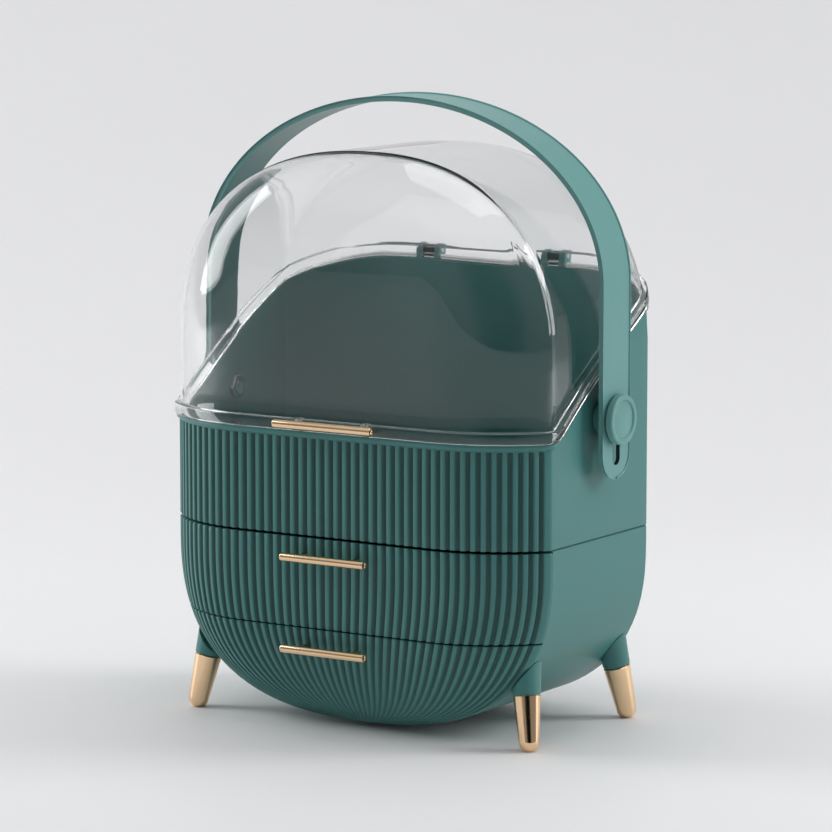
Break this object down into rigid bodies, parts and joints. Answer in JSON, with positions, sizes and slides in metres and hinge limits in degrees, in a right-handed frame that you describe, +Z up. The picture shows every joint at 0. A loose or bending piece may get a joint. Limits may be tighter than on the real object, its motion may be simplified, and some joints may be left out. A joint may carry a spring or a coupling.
{
  "type": "dustproof makeup organizer",
  "caption": "Upright capsule-shaped makeup box on splayed legs, with a clear hinged dome, an open top compartment, ribbed drawers and a swinging carry handle.",
  "frame": {"origin": "on the ground, under the middle of the body", "axes": "+Z up, -Y towards the drawers' side, +X to the right as seen from the drawers' side"},
  "size_m": [0.2986, 0.1992, 0.379],
  "materials": {
    "green_plastic": "satin",
    "inner_plastic": "satin",
    "clear_plastic": "clear",
    "rose_gold": "anodised",
    "steel": "plain"
  },
  "bodies": {
    "body": {"top_box": "green_plastic", "housing": "green_plastic", "drawer_shelf": "inner_plastic", "body_screw_1": "steel", "body_screw_2": "steel", "body_screw_3": "steel", "body_screw_4": "steel", "hinge_pin_left": "steel", "hinge_pin_right": "steel", "leg_sleeve_front_left": "green_plastic", "leg_sleeve_front_right": "green_plastic", "leg_sleeve_rear_left": "green_plastic", "leg_sleeve_rear_right": "green_plastic", "leg_tip_front_left": "rose_gold", "leg_tip_front_right": "rose_gold", "leg_tip_rear_left": "rose_gold", "leg_tip_rear_right": "rose_gold", "leg_screw_front_left": "steel", "leg_screw_front_right": "steel", "leg_screw_rear_left": "steel", "leg_screw_rear_right": "steel"},
    "upper_drawer": {"upper_drawer_front": "green_plastic", "upper_drawer_tray": "inner_plastic", "upper_drawer_bar": "rose_gold", "upper_drawer_bar_screw_1": "steel", "upper_drawer_bar_screw_2": "steel"},
    "lower_drawer": {"lower_drawer_front": "green_plastic", "lower_drawer_tray": "inner_plastic", "lower_drawer_bar": "rose_gold", "lower_drawer_bar_screw_1": "steel", "lower_drawer_bar_screw_2": "steel"},
    "lid": {"lid": "clear_plastic", "lid_bar": "rose_gold", "lid_bar_screw_1": "steel", "lid_bar_screw_2": "steel"},
    "handle_pivots": {"knob_left": "green_plastic", "knob_right": "green_plastic", "pivot_spacer_left": "green_plastic", "pivot_spacer_right": "green_plastic", "pivot_nut_left": "steel", "pivot_nut_right": "steel"},
    "handle": {"handle": "green_plastic"}
  },
  "joints": [
    {"name": "handle_swing", "type": "hinge", "parent": "body", "child": "handle_pivots", "pos_m": [0, 0, 0.192], "axis": [-1, 0, 0], "range_deg": [0, 140]},
    {"name": "handle_lift", "type": "slide", "parent": "handle_pivots", "child": "handle", "axis": [0, 0, 1], "range_m": [0, 0.023]},
    {"name": "lid_hinge", "type": "hinge", "parent": "body", "child": "lid", "pos_m": [0, 0.096, 0.27515], "axis": [-1, 0, 0], "range_deg": [0, 70]},
    {"name": "upper_drawer_slide", "type": "slide", "parent": "body", "child": "upper_drawer", "axis": [0, -1, 0], "range_m": [0, 0.1]},
    {"name": "lower_drawer_slide", "type": "slide", "parent": "body", "child": "lower_drawer", "axis": [0, -1, 0], "range_m": [0, 0.1]}
  ],
  "couplings": [
    {"joint": "lid_hinge", "follows": "handle_swing", "ratio": 0.5}
  ]
}
